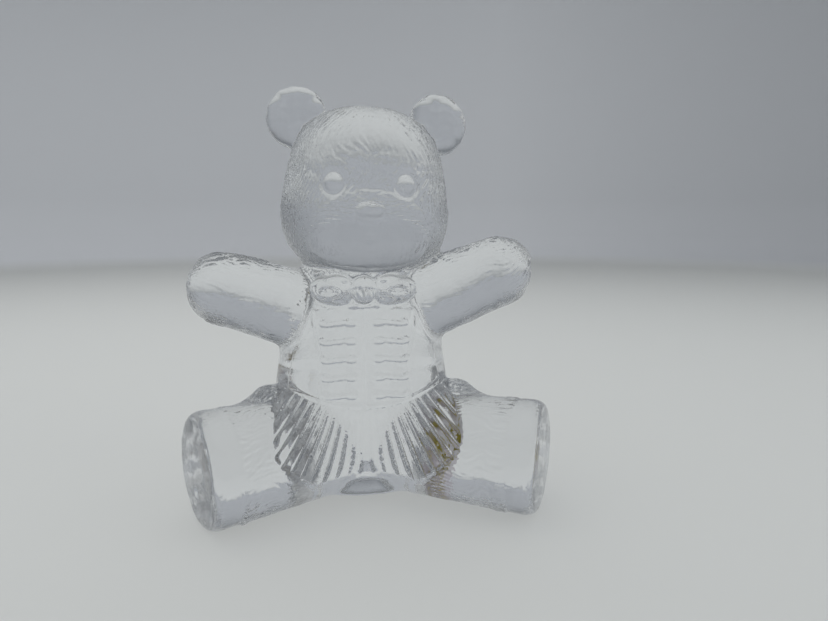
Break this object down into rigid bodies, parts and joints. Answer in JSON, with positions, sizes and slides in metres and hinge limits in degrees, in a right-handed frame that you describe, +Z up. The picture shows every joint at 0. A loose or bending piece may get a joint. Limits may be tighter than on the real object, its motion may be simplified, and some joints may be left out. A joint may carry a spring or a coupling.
{
  "type": "glass bear figurine",
  "caption": "Solid clear pressed-glass sitting bear with outstretched arms, splayed legs and textured fur, resting on its flat underside.",
  "frame": {"origin": "on the table, under the middle of the bear's seat", "axes": "+Z up through the head, +X towards the bear's left hand, the bear faces -Y"},
  "size_m": [0.0957, 0.0596, 0.1049],
  "materials": {
    "clear_glass": "gloss",
    "label_paper": "satin",
    "label_gold": "satin foil"
  },
  "bodies": {
    "root": {"torso": "clear_glass", "head": "clear_glass", "muzzle": "clear_glass", "nose": "clear_glass", "eye_left": "clear_glass", "eye_right": "clear_glass", "ear_left": "clear_glass", "ear_right": "clear_glass", "arm_left": "clear_glass", "arm_right": "clear_glass", "leg_left": "clear_glass", "leg_right": "clear_glass", "sole_left": "clear_glass", "sole_right": "clear_glass", "vest_front_left": "clear_glass", "vest_front_right": "clear_glass", "vest_braids_left": "clear_glass", "vest_braids_right": "clear_glass", "skirt": "clear_glass", "skirt_pleats": "clear_glass", "neck_ruff": "clear_glass", "bow_knot": "clear_glass", "bow_loop_left": "clear_glass", "bow_loop_right": "clear_glass", "label_backing": "label_paper", "label_foil": "label_gold"}
  },
  "joints": []
}
